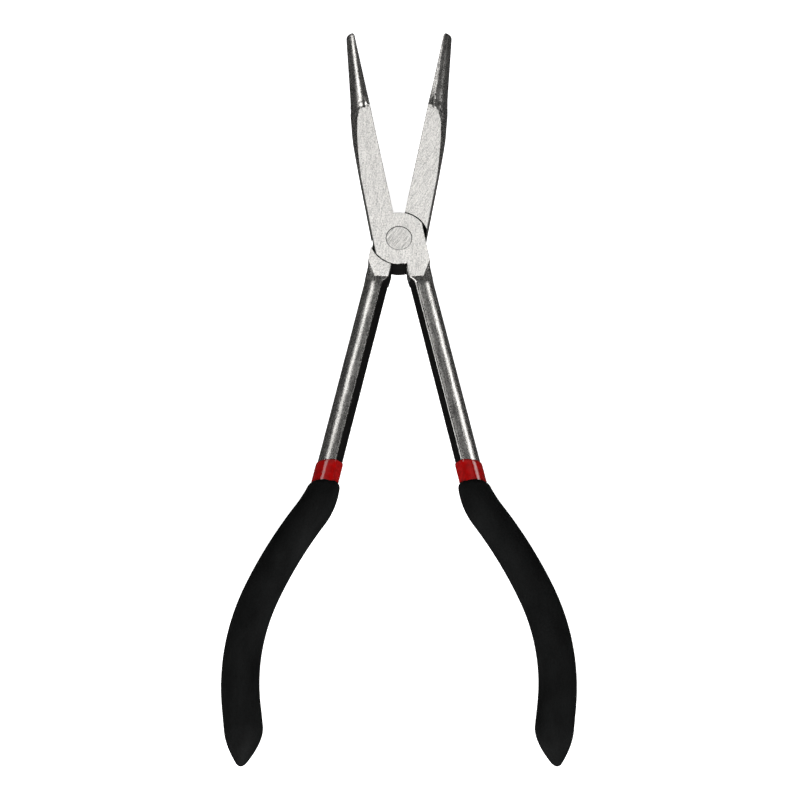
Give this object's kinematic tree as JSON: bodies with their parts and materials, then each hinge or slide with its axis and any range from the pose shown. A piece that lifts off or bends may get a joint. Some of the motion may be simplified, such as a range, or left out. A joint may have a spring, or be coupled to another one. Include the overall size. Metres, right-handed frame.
{
  "type": "needle nose pliers",
  "caption": "Long reach needle nose pliers: two lapped forged levers on a flush rivet, serrated tapering jaws, straight shanks, red inner sleeves and black bowed grips.",
  "frame": {"origin": "on the pivot axis, at the joint's flat back face", "axes": "+Y along the tool's centre line towards the jaw tips, +Z along the pivot axis from the back face to the front face, +X to the right seen from the front with the jaws up"},
  "size_m": [0.1176, 0.2715, 0.0129],
  "materials": {
    "lever_steel": "polished rounds, ground satin flats, black scale left on the inner sides",
    "rivet_steel": "ground flush, diagonal scratches",
    "red_vinyl": "glossy dipped vinyl",
    "black_grip": "matte, very fine even texture"
  },
  "bodies": {
    "front": {"front_lever": "lever_steel", "pivot_rivet": "rivet_steel", "right_inner_sleeve": "red_vinyl", "right_grip": "black_grip"},
    "rear": {"rear_lever": "lever_steel", "left_inner_sleeve": "red_vinyl", "left_grip": "black_grip"}
  },
  "joints": [
    {"name": "pivot", "type": "hinge", "parent": "front", "child": "rear", "pos_m": [0, 0, 0], "axis": [0, 0, 1], "range_deg": [-32, 22]}
  ]
}
